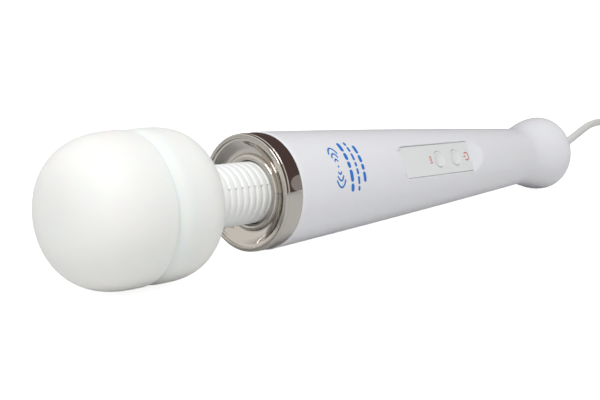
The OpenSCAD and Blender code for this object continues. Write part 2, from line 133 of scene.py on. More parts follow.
def rounded(points, radii, steps=5):
    """Outline whose corners are rounded: each corner has its own radius, and 0 keeps it sharp."""
    out = []
    for i, (p, r) in enumerate(zip(points, radii)):
        p = Vector(p)
        if r <= 0 or i in (0, len(points) - 1):
            out.append(p)
            continue
        a = Vector(points[i - 1]) - p
        b = Vector(points[i + 1]) - p
        reach = min(r, 0.45 * a.length, 0.45 * b.length)
        start, end = p + a.normalized() * reach, p + b.normalized() * reach
        for k in range(steps + 1):
            t = k / steps
            out.append((1 - t) ** 2 * start + 2 * t * (1 - t) * p + t * t * end)
    return [(v[0], v[1]) for v in out]


def skin_rings(bm, rings, closed_ring=True, closed_end=False):
    """Joins rows of vertices with quads; a row of one vertex is a pole."""
    pairs = list(zip(rings, rings[1:]))
    if closed_end:
        pairs.append((rings[-1], rings[0]))
    for a, b in pairs:
        n = max(len(a), len(b))
        for k in range(n if closed_ring else n - 1):
            j = (k + 1) % n
            if len(a) == 1:
                bm.faces.new((a[0], b[k], b[j]))
            elif len(b) == 1:
                bm.faces.new((a[k], b[0], a[j]))
            else:
                bm.faces.new((a[k], b[k], b[j], a[j]))


def lathe(name, outline, place=wand, turns=None, loop=False, sharp=35.0, bulge=None):
    """Solid turned about an axis from (station, radius) points. loop closes a ring-shaped outline."""
    turns = turns or [2 * math.pi * k / 180 for k in range(180)]
    bm = bmesh.new()
    rings = []
    for station, radius in outline:
        if radius < 1e-6:
            rings.append([bm.verts.new(place(station))])
        else:
            grow = bulge or (lambda s, r, t: r)
            rings.append([bm.verts.new(place(station, grow(station, radius, t), t)) for t in turns])
    skin_rings(bm, rings, closed_end=loop)
    return new_piece(name, bm, sharp)


def frames_along(points):
    """Tangent and two normals at each point of a path, turning as little as possible."""
    tangents = []
    for i in range(len(points)):
        a, b = points[max(i - 1, 0)], points[min(i + 1, len(points) - 1)]
        tangents.append((b - a).normalized())
    up = Vector((0, 0, 1)) if abs(tangents[0].z) < 0.9 else Vector((1, 0, 0))
    u = tangents[0].cross(up).normalized()
    out = []
    for t in tangents:
        u = (u - u.dot(t) * t).normalized()
        out.append((t, u, t.cross(u)))
    return out


def tube(name, points, radii, sides=24, sharp=35.0):
    """Tube along points in metres, with a radius in metres for each, closed at both ends."""
    bm = bmesh.new()
    rings = []
    for p, r, (_, u, v) in zip(points, radii, frames_along(points)):
        rings.append([bm.verts.new(p + r * (math.cos(a) * u + math.sin(a) * v))
                      for a in [2 * math.pi * k / sides for k in range(sides)]])
    skin_rings(bm, rings)
    bm.faces.new(rings[0])
    bm.faces.new(rings[-1])
    return new_piece(name, bm, sharp)


def smooth_path(points, per_gap=6):
    """Catmull-Rom curve through points."""
    out = []
    for i in range(len(points) - 1):
        p0, p1 = points[max(i - 1, 0)], points[i]
        p2, p3 = points[i + 1], points[min(i + 2, len(points) - 1)]
        for k in range(per_gap):
            t = k / per_gap
            out.append(0.5 * ((2 * p1) + (p2 - p0) * t + (2 * p0 - 5 * p1 + 4 * p2 - p3) * t * t
                              + (3 * p1 - p0 - 3 * p2 + p3) * t ** 3))
    out.append(points[-1])
    return out


# ---------- lead: route, coil, end ----------

CORD_R = 2.3
ROUTE = [(168.7, 0, 20.5), (175.5, 0.2, 20.6), (182, 0.6, 20.7), (190, 1.6, 21.2), (198.5, 3, 21.9),
         (209, 5, 23.1), (221, 7.4, 24.7), (234, 10.2, 26.5), (248, 13.2, 28.1), (262, 15.9, 28.8),
         (275.5, 17.4, 28.5), (289, 16.9, 27.1), (301.5, 13.4, 24.9), (311.5, 6.6, 22.7), (318, -2.6, 20.8),
         (320.2, -13.4, 19.3), (317.6, -24.4, 18.4), (311, -33.4, 17.6), (302, -39.4, 17),
         (292.7, -42.1, 15.9), (284, -42, 13.9), (276, -40.2, 12.1)]
# The strain relief runs from inside the casing to this many points along the route
RELIEF_START = 241.2
RELIEF_POINTS = 4
# Coil: middle, mean radius, turns on each side of its square section, and angles in degrees
COIL_AT = (283, -20)
COIL_R = 26.0
COIL_SIDE = 3
COIL_START = -109.0
COIL_LEAVES = -90.0
COIL_SHIFT = 50.0
COIL_STEPS = 30
COIL_WANDER = 0.12
END_ROUTE = [(277, -50.9, 2.3), (270, -51.6, 2.4), (263, -52.4, 2.9), (257, -52.9, 3.9), (251, -53, 5.2),
             (246, -53, 6)]
PLUG_AT = Vector((246, -53, 6)) * MM


def room(p):
    """Point of the room in metres, from millimetres."""
    return Vector(p) * MM


def coil_points():
    """Turns wound clockwise, column by column from the inside out, up and down in turn."""
    step = 2 * CORD_R
    levels = []
    for column in range(COIL_SIDE):
        heights = [CORD_R + step * k for k in range(COIL_SIDE)]
        if column % 2 == 0:
            heights.reverse()
        radius = COIL_R + step * (column - (COIL_SIDE - 1) / 2)
        levels += [(radius, z) for z in heights]
    last = COIL_LEAVES - 360.0 * len(levels)
    out = []
    steps = COIL_STEPS * len(levels)
    for i in range(1, steps + 1):
        angle = COIL_START + (last - COIL_START) * i / steps
        turned = COIL_START - angle
        k = min(int(turned // 360), len(levels) - 1)
        into = turned - 360 * k
        t = max(0.0, (into - (360 - COIL_SHIFT)) / COIL_SHIFT)
        t = t * t * (3 - 2 * t)
        r0, z0 = levels[k]
        r1, z1 = levels[min(k + 1, len(levels) - 1)]
        r, z = r0 + (r1 - r0) * t, z0 + (z1 - z0) * t
        r += COIL_WANDER * math.sin(math.radians(3 * angle) + 1.7 * k)
        a = math.radians(angle)
        out.append((COIL_AT[0] + r * math.cos(a), COIL_AT[1] + r * math.sin(a), z))
    return out


def make_cord():
    """The whole lead as one round curve, with its length in metres."""
    line = smooth_path([room(p) for p in ROUTE], 3) + [room(p) for p in coil_points()]
    line += smooth_path([room(p) for p in END_ROUTE], 3)
    curve = bpy.data.curves.new("mains_lead", "CURVE")
    curve.dimensions = "3D"
    curve.bevel_depth = CORD_R * MM
    curve.bevel_resolution = 5
    curve.use_fill_caps = True
    spline = curve.splines.new("POLY")
    spline.points.add(len(line) - 1)
    for point, p in zip(spline.points, line):
        point.co = (*p, 1)
    spline.use_smooth = True
    piece = bpy.data.objects.new("mains_lead", curve)
    bpy.context.scene.collection.objects.link(piece)
    length = sum((b - a).length for a, b in zip(line, line[1:]))
    return piece, length


def make_strain_relief():
    """Tapered moulded sleeve with flex grooves, round the first stretch of the lead."""
    points = smooth_path([wand(RELIEF_START)] + [room(p) for p in ROUTE[:RELIEF_POINTS]], 14)
    total = sum((b - a).length for a, b in zip(points, points[1:]))
    radii, run = [], 0.0
    for i, p in enumerate(points):
        if i:
            run += (p - points[i - 1]).length
        share = run / total
        r = 4.9 - 1.9 * share
        groove = 0.5 - 0.5 * math.cos(2 * math.pi * share * 7)
        if 0.2 < share < 0.93:
            r -= 0.55 * groove ** 3
        if share > 0.97:
            r -= 0.25
        radii.append(r * MM)
    return tube("strain_relief_sleeve", points, radii, 32)


def rounded_box_ring(half_w, half_t, corner, steps=6):
    """Outline of a rounded rectangle about the origin."""
    corner = min(corner, half_w, half_t)
    ring = []
    for sx, sy, a0 in ((1, 1, 0), (-1, 1, 90), (-1, -1, 180), (1, -1, 270)):
        cx, cy = sx * (half_w - corner), sy * (half_t - corner)
        for k in range(steps + 1):
            a = math.radians(a0 + 90 * k / steps)
            ring.append((cx + corner * math.cos(a), cy + corner * math.sin(a)))
    return ring


PLUG_L = 24.0
PLUG_W = 21.0
PLUG_T = 12.0
PLUG_NECK = 12.0


def make_plug():
    """Moulded two-blade plug: flat body with finger ribs, shoulders, and a ribbed neck."""
    sections = []
    for k in range(49):
        x = k / 48 * (PLUG_L + PLUG_NECK)
        if x < PLUG_L:
            u = max(0.0, (x - 0.52 * PLUG_L) / (0.48 * PLUG_L))
            ease = u * u * (3 - 2 * u)
            w = PLUG_W / 2 * (1 - 0.52 * ease)
            t = PLUG_T / 2 * (1 - 0.22 * ease)
            if x < 0.9:
                w, t = w - 0.9 + x, t - 0.9 + x
            if 8 < x < 20:
                w -= 0.45 * max(0.0, math.sin(math.pi * (x - 8) / 1.5)) ** 2
        else:
            v = (x - PLUG_L) / PLUG_NECK
            w = PLUG_W * 0.24 - (PLUG_W * 0.24 - 3.0) * v ** 0.6
            t = PLUG_T * 0.39 - (PLUG_T * 0.39 - 3.0) * v ** 0.6
            w -= 0.3 * max(0.0, math.sin(math.pi * (x - PLUG_L) / 1.5)) ** 2
        sections.append((x, w, t))
    bm = bmesh.new()
    rings = []
    for x, w, t in sections:
        corner = min(3.2, 0.96 * min(w, t))
        rings.append([bm.verts.new(PLUG_AT + MM * Vector((x - PLUG_L - PLUG_NECK, y, z)))
                      for y, z in rounded_box_ring(w, t, corner)])
    skin_rings(bm, rings)
    bm.faces.new(rings[0])
    bm.faces.new(rings[-1])
    return new_piece("plug_moulding", bm, 40)


def make_tie():
    """Coated wire tie round the coil's turns, its two ends twisted together on top."""
    inner, outer = COIL_R - COIL_SIDE * CORD_R, COIL_R + COIL_SIDE * CORD_R
    top = 2 * CORD_R * COIL_SIDE
    angle = math.radians(25)
    out = Vector((math.cos(angle), math.sin(angle), 0))
    side = Vector((-math.sin(angle), math.cos(angle), 0))
    middle = Vector((COIL_AT[0], COIL_AT[1], 0)) + out * (inner + outer) / 2
    half_w, half_t = (outer - inner) / 2 + 0.25, top / 2 + 0.2
    bm = bmesh.new()
    rings = []
    for y, z in rounded_box_ring(half_w, half_t, 2.4, 8):
        length = math.hypot(y, z)
        centre = middle + Vector((0, 0, top / 2 + 0.25)) + y * out + z * Vector((0, 0, 1))
        normal = (y * out / half_w + z * Vector((0, 0, 1)) / half_t) / max(length / half_w, 1e-6)
        normal.normalize()
        ring = []
        for a, b in ((-2.1, -0.22), (-0.5, -0.3), (0, 0.35), (0.5, -0.3), (2.1, -0.22)):
            ring.append(bm.verts.new(MM * (centre + a * side + (0.35 + b) * normal)))
        for a in (2.1, -2.1):
            ring.append(bm.verts.new(MM * (centre + a * side - 0.05 * normal)))
        rings.append(ring)
    skin_rings(bm, rings, closed_end=True)
    for way in (0, math.pi):
        points, radii = [], []
        for k in range(25):
            t = k / 24
            a = way + t * 5 * math.pi
            swing = 0.9 * (1 - 0.5 * t)
            points.append(MM * (middle + Vector((0, 0, top + 1.0 + 0.7 * math.sin(a) * swing))
                                + out * (1 + 8 * t) + side * (swing * math.cos(a) - 3 * t)))
            radii.append(0.55 * MM)
        rings = []
        for p, r, (_, u, v) in zip(points, radii, frames_along(points)):
            rings.append([bm.verts.new(p + r * (math.cos(b) * u + 0.6 * math.sin(b) * v))
                          for b in [2 * math.pi * k / 10 for k in range(10)]])
        skin_rings(bm, rings)
        bm.faces.new(rings[0])
        bm.faces.new(rings[-1])
    return new_piece("coil_wire_tie", bm, 40)


# ---------- materials ----------


def material(name, colour, roughness, metallic=0.0, **sockets):
    """Principled material; sockets sets further inputs of the shader by name, with _ for spaces."""
    mat = bpy.data.materials.new(name)
    mat.use_nodes = True
    shader = mat.node_tree.nodes["Principled BSDF"]
    shader.inputs["Base Color"].default_value = (*colour, 1)
    shader.inputs["Roughness"].default_value = roughness
    shader.inputs["Metallic"].default_value = metallic
    for key, value in sockets.items():
        shader.inputs[key.replace("_", " ")].default_value = value
    return mat, mat.node_tree, shader


def add(tree, kind, **inputs):
    """Node of a kind with its input sockets set by name; _ stands for a space."""
    node = tree.nodes.new(kind)
    for key, value in inputs.items():
        node.inputs[key.replace("_", " ")].default_value = value
    return node


def mottle(tree, shader, colour, other, scale):
    """Slow colour variation between two close colours."""
    place = tree.nodes.new("ShaderNodeTexCoord")
    noise_tex = add(tree, "ShaderNodeTexNoise", Scale=scale, Detail=5.0, Roughness=0.6)
    tree.links.new(place.outputs["Object"], noise_tex.inputs["Vector"])
    mix = tree.nodes.new("ShaderNodeMix")
    mix.data_type = "RGBA"
    ramp = tree.nodes.new("ShaderNodeValToRGB")
    ramp.color_ramp.elements[0].position = 0.25
    ramp.color_ramp.elements[1].position = 0.75
    tree.links.new(noise_tex.outputs["Fac"], ramp.inputs["Fac"])
    tree.links.new(ramp.outputs["Color"], mix.inputs["Factor"])
    mix.inputs[6].default_value = (*colour, 1)
    mix.inputs[7].default_value = (*other, 1)
    tree.links.new(mix.outputs[2], shader.inputs["Base Color"])
    return place


def rough_noise(tree, shader, place, scale, low, high):
    """Roughness that wanders between two values."""
    noise_tex = add(tree, "ShaderNodeTexNoise", Scale=scale, Detail=4.0)
    spread = add(tree, "ShaderNodeMapRange", From_Min=0.3, From_Max=0.7, To_Min=low, To_Max=high)
    tree.links.new(place.outputs["Object"], noise_tex.inputs["Vector"])
    tree.links.new(noise_tex.outputs["Fac"], spread.inputs["Value"])
    tree.links.new(spread.outputs["Result"], shader.inputs["Roughness"])


def fine_bump(tree, shader, place, scale, depth):
    """Fine surface grain, depth in metres."""
    grain = add(tree, "ShaderNodeTexNoise", Scale=scale, Detail=6.0)
    bump = add(tree, "ShaderNodeBump", Strength=1.0, Distance=depth)
    tree.links.new(place.outputs["Object"], grain.inputs["Vector"])
    tree.links.new(grain.outputs["Fac"], bump.inputs["Height"])
    tree.links.new(bump.outputs["Normal"], shader.inputs["Normal"])


def simple(name, colour, other, roughness, metallic=0.0, grain=900.0, depth=0.00002, spots=25.0, wander=0.06,
           **sockets):
    """Material with slow colour variation, wandering roughness and a fine grain."""
    mat, tree, shader = material(name, colour, roughness, metallic, **sockets)
    place = mottle(tree, shader, colour, other, spots)
    rough_noise(tree, shader, place, spots * 2.3, max(0.02, roughness - wander), roughness + wander)
    fine_bump(tree, shader, place, grain, depth)
    return mat


def make_materials():
    """Every look of the object, by a short key."""
    m = {}
    m["silicone"] = simple("silicone", (0.93, 0.93, 0.9), (0.915, 0.915, 0.885), 0.5, depth=0.000006,
                           spots=12, Subsurface_Weight=0.18, Subsurface_Scale=0.006,
                           Specular_IOR_Level=0.35)
    m["bellows"] = simple("bellows_rubber", (0.94, 0.94, 0.925), (0.92, 0.92, 0.905), 0.42,
                          depth=0.000006, Subsurface_Weight=0.05, Subsurface_Scale=0.003)
    m["shell"] = simple("shell_plastic", (0.86, 0.86, 0.89), (0.845, 0.845, 0.88), 0.32, depth=0.000002,
                        spots=9, wander=0.03, Subsurface_Weight=0.08, Subsurface_Scale=0.003,
                        Coat_Weight=0.15, Coat_Roughness=0.22)
    m["chrome"] = simple("chrome", (0.58, 0.55, 0.51), (0.55, 0.52, 0.48), 0.05, metallic=1.0, grain=300,
                         depth=0.000001, wander=0.02)
    m["panel"] = simple("panel_plastic", (0.83, 0.85, 0.84), (0.815, 0.835, 0.825), 0.34, grain=1200,
                        depth=0.000003)
    m["core"] = simple("core_plastic", (0.78, 0.78, 0.75), (0.74, 0.74, 0.71), 0.5)
    m["steel"] = simple("ground_steel", (0.62, 0.62, 0.64), (0.54, 0.54, 0.56), 0.25, metallic=1.0,
                        grain=1500)
    m["weight"] = simple("cast_iron", (0.2, 0.2, 0.21), (0.14, 0.14, 0.15), 0.55, metallic=1.0, depth=0.00008)
    m["screw"] = simple("black_screw", (0.05, 0.05, 0.055), (0.09, 0.09, 0.09), 0.38, metallic=1.0)
    m["iron"] = simple("laminations", (0.16, 0.16, 0.17), (0.22, 0.21, 0.2), 0.45, metallic=1.0)
    m["cap"] = simple("end_cap_nylon", (0.02, 0.02, 0.022), (0.03, 0.03, 0.03), 0.55)
    m["copper"] = simple("copper_winding", (0.62, 0.27, 0.12), (0.5, 0.2, 0.09), 0.32, metallic=1.0,
                         grain=300, depth=0.0002)
    m["brass"] = simple("brass", (0.68, 0.5, 0.24), (0.6, 0.43, 0.2), 0.3, metallic=1.0)
    m["black_rubber"] = simple("black_rubber", (0.025, 0.025, 0.025), (0.04, 0.04, 0.04), 0.75)
    m["board"] = simple("solder_mask", (0.02, 0.16, 0.06), (0.02, 0.11, 0.045), 0.35)
    m["switch"] = simple("switch_black", (0.02, 0.02, 0.02), (0.035, 0.035, 0.035), 0.4)
    m["wire"] = simple("wire_red", (0.5, 0.03, 0.02), (0.42, 0.03, 0.02), 0.4)
    m["lead"] = simple("lead_pvc", (0.80, 0.81, 0.78), (0.75, 0.76, 0.73), 0.42, grain=1500, depth=0.00002,
                       Subsurface_Weight=0.1, Subsurface_Scale=0.002)
    m["blade"] = simple("nickel_blade", (0.72, 0.69, 0.62), (0.66, 0.62, 0.55), 0.22, metallic=1.0)
    m["print"] = simple("blue_print", (0.012, 0.2, 0.66), (0.012, 0.17, 0.58), 0.38, grain=4000,
                        depth=0.000004)
    m["icon"] = simple("red_print", (0.72, 0.06, 0.05), (0.65, 0.05, 0.04), 0.4, grain=4000, depth=0.000004)
    return m


MATERIALS = make_materials()

# Look of each packed material slot, for the CAD nodes that stay
SLOT_LOOKS = {"silicone": "silicone", "core_plastic": "core", "bearing_steel": "steel",
              "drive_steel": "steel", "weight_iron": "weight", "bellows_rubber": "bellows",
              "spring_steel": "steel", "chrome": "chrome", "shell_plastic": "shell", "screw_steel": "screw",
              "motor_steel": "steel", "stator_iron": "iron", "end_cap_plastic": "cap", "copper": "copper",
              "brass": "brass", "mount_rubber": "black_rubber", "panel_plastic": "panel", "board": "board",
              "switch_plastic": "switch", "wire": "wire", "lead_pvc": "lead", "tie_wire": "cap",
              "blade_metal": "blade"}


def wear(piece, look, slot, *replaced, body="handle"):
    """Gives a piece its material, its body and the CAD nodes that it stands for; slot is not used."""
    piece.data.materials.clear()
    piece.data.materials.append(MATERIALS[look])
    if body:
        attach(piece, body)
    if replaced:
        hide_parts(*replaced)
    return piece


for entry in frame["record"]["subparts"]:
    node = NODES[entry["node"]]
    node.data.materials.clear()
    node.data.materials.append(MATERIALS[SLOT_LOOKS[entry["material_slot"]]])

# The lead and what is on it
cord, cord_length = make_cord()
wear(cord, "lead", "lead_pvc", "cord_lead", "cord_coil", "cord_end")
relief = wear(make_strain_relief(), "lead", "lead_pvc", "strain_relief")
plug = wear(make_plug(), "lead", "lead_pvc", "plug_body")
tie = wear(make_tie(), "cap", "tie_wire", "coil_tie")

# ---------- head ----------

HEAD_R = 30.0
DOME_L = 31.0
DOME_POWER = 2.75
DOME_START = -62.5
GROOVE_AT = -60.3
LAND_START = -55.2
LAND_END = -48.0
REAR_L = 17.5
REAR_POWER = 2.45
HEAD_REAR = -30.5
COVER_WALL = 2.6
NECK_HOLE_R = 13.4
GROOVE_DEPTH = 2.1


def full_arc(power, steps):
    """Quarter curve from (0, 1) to (1, 0) whose fullness is set by a power."""
    out = []
    for i in range(steps + 1):
        a = math.pi / 2 * i / steps
        out.append((math.sin(a) ** (2 / power), math.cos(a) ** (2 / power) if i < steps else 0.0))
    return out


def make_head():
    """Silicone cover: full dome, groove, sloped band, land and rounded rear, with the neck's hole."""
    dome = [(DOME_START - DOME_L * u, (HEAD_R - 0.1) * v) for u, v in full_arc(DOME_POWER, 64)][::-1]
    floor_r = HEAD_R - GROOVE_DEPTH
    groove = rounded([(DOME_START, HEAD_R - 0.1), (GROOVE_AT - 0.3, HEAD_R - 0.15),
                      (GROOVE_AT + 0.1, floor_r), (GROOVE_AT + 0.5, floor_r),
                      (LAND_START, HEAD_R), (LAND_END, HEAD_R)],
                     [0, 1.3, 0.2, 0.2, 2.2, 0], 6)
    rear = [(LAND_END + REAR_L * u, NECK_HOLE_R + (HEAD_R - NECK_HOLE_R) * v)
            for u, v in full_arc(REAR_POWER, 40)]
    lip = rounded([rear[-2], (HEAD_REAR, NECK_HOLE_R), (HEAD_REAR - COVER_WALL, NECK_HOLE_R),
                   (HEAD_REAR - COVER_WALL, 20.0)], [0, 0.5, 0, 0])
    inner = [(LAND_END - 2, HEAD_R - COVER_WALL), (GROOVE_AT, HEAD_R - COVER_WALL - 0.1),
             (DOME_START - DOME_L * 0.73, 17.0), (DOME_START - DOME_L + COVER_WALL, 0.0)]
    return lathe("head_cover_skin", dome + groove[1:-1] + rear[:-1] + lip[1:] + inner, sharp=50)


wear(make_head(), "silicone", "silicone", "head_cover", body="head")

# ---------- neck ----------

RIB_PITCH = 3.6
RIBS_START = -30.0
RIBS = 10
CREST_R = 13.0
ROOT_R = 11.3
CUFF_R = 9.8
REAR_CUFF = 8.9
FRONT_CUFF = -34.3
# Share of the grooves' depth that is filled: at the two seams, over the upper side, and over the
# lower side, where the fill fades out before the next seam (angles in degrees from a seam)
SEAM_FILL = 0.9
SEAM_WIDTH = 0.75
UPPER_FILL = 0.55
LOWER_FILL = 0.8
LOWER_END = 142
LOWER_FADE = 22


def rib_profile(station):
    """Outer radius of the bellows: broad crests with narrow grooves."""
    u = abs(math.sin(math.pi * (station - RIBS_START) / RIB_PITCH))
    return ROOT_R + (CREST_R - ROOT_R) * (1 - (1 - u) ** 2.6)


def neck_turns():
    """Turns round the neck, closer together at the two moulding seams."""
    out = []
    for side in (0.0, math.pi):
        out += [side + math.radians(a) for a in (-2.4, -1.6, -1.1, -0.7, -0.35, 0, 0.35, 0.7, 1.1, 1.6, 2.4)]
        out += [side + math.radians(a) for a in range(5, 176, 3)]
    return sorted(t % (2 * math.pi) for t in out)


def filled_grooves(_, radius, turn):
    """Outer radius once the grooves are filled at the two moulding seams and on the smooth sides."""
    if radius < ROOT_R - 0.2:
        return radius
    t = math.degrees(turn) % 180
    off = min(t, 180 - t)
    fill = UPPER_FILL
    if t > 90:
        fill = min(1.0, max(0.0, (LOWER_END - t) / LOWER_FADE)) * LOWER_FILL
    fill = max(fill, SEAM_FILL * math.exp(-(off / SEAM_WIDTH) ** 2))
    return radius + (CREST_R - radius) * fill


def make_bellows(name, start, end):
    """One length of the bellows as a closed ring of rubber."""
    per_rib = 14
    count = int(round((end - start) / RIB_PITCH * per_rib))
    outer = []
    for i in range(count + 1):
        s = start + (end - start) * i / count
        inside = RIBS_START <= s <= RIBS_START + RIBS * RIB_PITCH
        outer.append((s, rib_profile(s) if inside else ROOT_R))
    inner = [(s, max(CUFF_R, r - 1.5)) for s, r in outer[::3]]
    if inner[-1][0] < end - 1e-6:
        inner.append((end, CUFF_R))
    return lathe(name, outer + inner[::-1], turns=neck_turns(), loop=True, sharp=60,
                 bulge=filled_grooves)


bellows_rear = wear(make_bellows("neck_bellows_rear", FLEX_STATION, REAR_CUFF), "bellows", "bellows_rubber",
                    "neck_bellows", body=None)
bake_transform(bellows_rear)
bellows_front = wear(make_bellows("neck_bellows_front", FRONT_CUFF, FLEX_STATION), "bellows",
                     "bellows_rubber", "neck_bellows", body=None)
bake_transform(bellows_front)

# ---------- collar ----------

COLLAR_R = 24.9
COLLAR_W = 9.7
COLLAR_BORE_R = 20.7
SOCKET_R = 16.4
SOCKET_BORE_R = 13.4


def make_collar():
    """Polished band with a rolled front bead, a fine step, and a dished face."""
    face = rounded([(COLLAR_W, COLLAR_BORE_R), (COLLAR_W, COLLAR_R), (1.9, COLLAR_R), (1.75, COLLAR_R - 0.35),
                    (1.35, COLLAR_R - 0.35), (1.2, COLLAR_R - 0.05), (0, COLLAR_R - 0.2),
                    (0, COLLAR_R - 1.9), (0.75, COLLAR_R - 2.1), (0.8, COLLAR_R - 2.8)],
                   [0, 0.35, 0.15, 0.12, 0.12, 0.3, 0.9, 0.3, 0.2, 0])
    dish = []
    dish_r = COLLAR_R - 2.9
    for i in range(1, 25):
        u = i / 24
        dish.append((0.8 + 3.2 * math.sin(math.pi / 2 * u), dish_r - (dish_r - SOCKET_R - 0.1) * u))
    back = [(5.4, SOCKET_R + 0.1), (5.4, COLLAR_BORE_R)]
    return lathe("collar_band", face + dish + back, loop=True, sharp=30,
                 turns=[2 * math.pi * k / 240 for k in range(240)])


def make_socket():
    """Inner chrome ring with a rolled lip round the neck."""
    lip = [(3.8 - 1.4 * math.sin(a), SOCKET_R - 1.5 + 1.5 * math.cos(a))
           for a in [math.radians(d) for d in range(0, 151, 10)]]
    bore = [(3.6, SOCKET_BORE_R), (8.9, SOCKET_BORE_R)]
    return lathe("neck_ring", [(8.9, SOCKET_R), (4.2, SOCKET_R)] + lip + bore, loop=True, sharp=30,
                 turns=[2 * math.pi * k / 240 for k in range(240)])


wear(make_collar(), "chrome", "chrome", "chrome_collar")
wear(make_socket(), "chrome", "chrome", "neck_socket")

# ---------- handle, front half ----------

FRONT_R = 25.6
WAIST_R = 15.7
RIM_R = 20.7
WAIST_AT = 211.0
RIM_ROUND = 5.0
TAIL_END = 244.0
RIM_AT = TAIL_END - RIM_ROUND
BELLY = 1.68
SHELL_WALL = 2.5
INNER_END = 241.0
TAIL_HOLE_R = 5.1
HALF_SEAM = 0.08
POCKET_HALF = 7.6
POCKET_FRONT = -31.0
POCKET_BOW = 14.0
POCKET_CORNER = 3.2
POCKET_NOSE = 2.8
PANEL_END = 30.0
RAMP_L = 13.0
RAMP_RISE = 2.9
PLATE_T = 1.3
TRAY_T = 1.6
LIP = 0.55


def skin_r(station):
    """Radius of the handle: a slightly bellied cone, then the flare up to the tail rim."""
    if station < WAIST_AT:
        u = station / WAIST_AT
        return FRONT_R + (WAIST_R - FRONT_R) * u + BELLY * u * (1 - u)
    u = min(1.0, (station - WAIST_AT) / (RIM_AT - WAIST_AT))
    return WAIST_R + (RIM_R - WAIST_R) * u * u * (3 - 2 * u)


def pocket_outline(grow, tail, corner):
    """Pocket outline in the panel's plane: bowed head end, straight sides, rounded tail corners."""
    half, front = POCKET_HALF + grow, POCKET_FRONT - grow
    bow_angle = math.asin((half - POCKET_CORNER) / POCKET_BOW)
    nose = POCKET_BOW - POCKET_BOW * math.cos(bow_angle)
    out = []
    for k in range(-8, 9):
        a = bow_angle * k / 8
        out.append((front + POCKET_BOW - POCKET_BOW * math.cos(a), POCKET_BOW * math.sin(a)))
    side = []
    for d in range(75, -1, -15):
        a = math.radians(d)
        side.append((front + nose + POCKET_NOSE * (1 - math.sin(a)),
                     half - POCKET_CORNER * (1 - math.cos(a))))
    for d in range(0, 91, 10):
        a = math.radians(d)
        side.append((tail - corner + corner * math.sin(a), half - corner + corner * math.cos(a)))
    return out + side + [(x, -y) for x, y in reversed(side)]


def outline_distance(x, y, outline):
    """Distance to a closed outline, negative inside it."""
    best, inside = 1e9, False
    for (x0, y0), (x1, y1) in zip(outline, outline[1:] + outline[:1]):
        dx, dy = x1 - x0, y1 - y0
        run = dx * dx + dy * dy
        t = max(0.0, min(1.0, ((x - x0) * dx + (y - y0) * dy) / run)) if run else 0.0
        best = min(best, math.hypot(x - x0 - t * dx, y - y0 - t * dy))
        if (y0 > y) != (y1 > y) and x < x0 + (y - y0) * dx / dy:
            inside = not inside
    return -best if inside else best


def soft_min(a, b, blend):
    """Lower of two heights, eased where they cross."""
    h = max(0.0, min(1.0, 0.5 + 0.5 * (b - a) / blend))
    return b + (a - b) * h - blend * h * (1 - h)


POCKET = pocket_outline(0.0, PANEL_END + RAMP_L, 6.0)


def pocket_height(x, y, skin):
    """Height of the shell over the panel's plane: the skin, the pocket's rounded lip, floor and ramp."""
    if not (POCKET_FRONT - 2 < x < PANEL_END + RAMP_L + 2 and abs(y) < POCKET_HALF + 1.5):
        return skin
    d = outline_distance(x, y, POCKET)
    if d >= LIP:
        return skin
    step = max(0.0, min(1.0, (x - PANEL_END + 0.02) / 0.1))
    u = max(0.0, min(1.0, (x - PANEL_END) / RAMP_L))
    ramp = RAMP_RISE * (0.6 * (1 - math.cos(math.pi / 2 * u)) + 0.4 * u)
    low = soft_min(ramp if step >= 1 else -PLATE_T * (1 - step), skin, 0.35)
    rise = 1 - (1 - max(0.0, d) / LIP) ** 3
    return low + (skin - low) * rise


def near(middle, offsets):
    """Rows or columns set close together about an edge."""
    return [middle + o for o in offsets]


def shell_rows():
    """Panel-frame x of the shell's rows along the pocket, closer together at its edges."""
    edge = [-0.7, -0.55, -0.44, -0.33, -0.23, -0.14, -0.06, 0.0, 0.08, 0.3]
    xs = near(POCKET_FRONT, edge) + [POCKET_FRONT + 0.6 + 0.4 * k for k in range(16)]
    xs += [-24.0 + 2.0 * k for k in range(27)] + near(PANEL_END, [-1.2, -0.3, -0.1, -0.04, 0.06, 0.12, 0.4])
    xs += [PANEL_END + 0.7 + 0.25 * k for k in range(56)]
    return sorted(set(round(x, 4) for x in xs))


def shell_turn_columns():
    """Columns across the half shell: panel-frame y near the pocket, then shares of the way to the seam."""
    edge = near(POCKET_HALF, (-0.3, -0.08, 0.0, 0.06, 0.14, 0.23, 0.33, 0.44, 0.56, 0.75))
    ys = [0.0, 0.8, 1.6, 2.4, 3.2, 4.0, 4.7, 5.3, 5.8, 6.2, 6.6, 7.0] + edge + [9.2, 10.0]
    shares = [0.12, 0.2, 0.3, 0.4, 0.5, 0.6, 0.7, 0.8, 0.88, 0.94, 0.975, 0.988, 1.0]
    positive = [("y", y) for y in ys] + [("turn", share) for share in shares]
    return [(k, -v) for k, v in reversed(positive) if v > 0] + positive


def bow_shift(x, y):
    """Moves rows near the pocket's head end onto its bow."""
    fade = max(0.0, 1 - abs(x - POCKET_FRONT) / 13.0)
    fade = fade * fade * (3 - 2 * fade) if x > POCKET_FRONT else fade
    y = min(abs(y), POCKET_HALF - 0.6)
    return (POCKET_BOW - math.sqrt(POCKET_BOW ** 2 - y * y)) * fade


def shell_turn(column, radius):
    """Turn of a column about the axis, where the skin has that radius."""
    kind, value = column
    if kind == "y":
        return math.asin(max(-1.0, min(1.0, value / radius)))
    base = math.asin(10.0 / radius)
    return math.copysign(base + (math.pi / 2 - base) * abs(value), value)


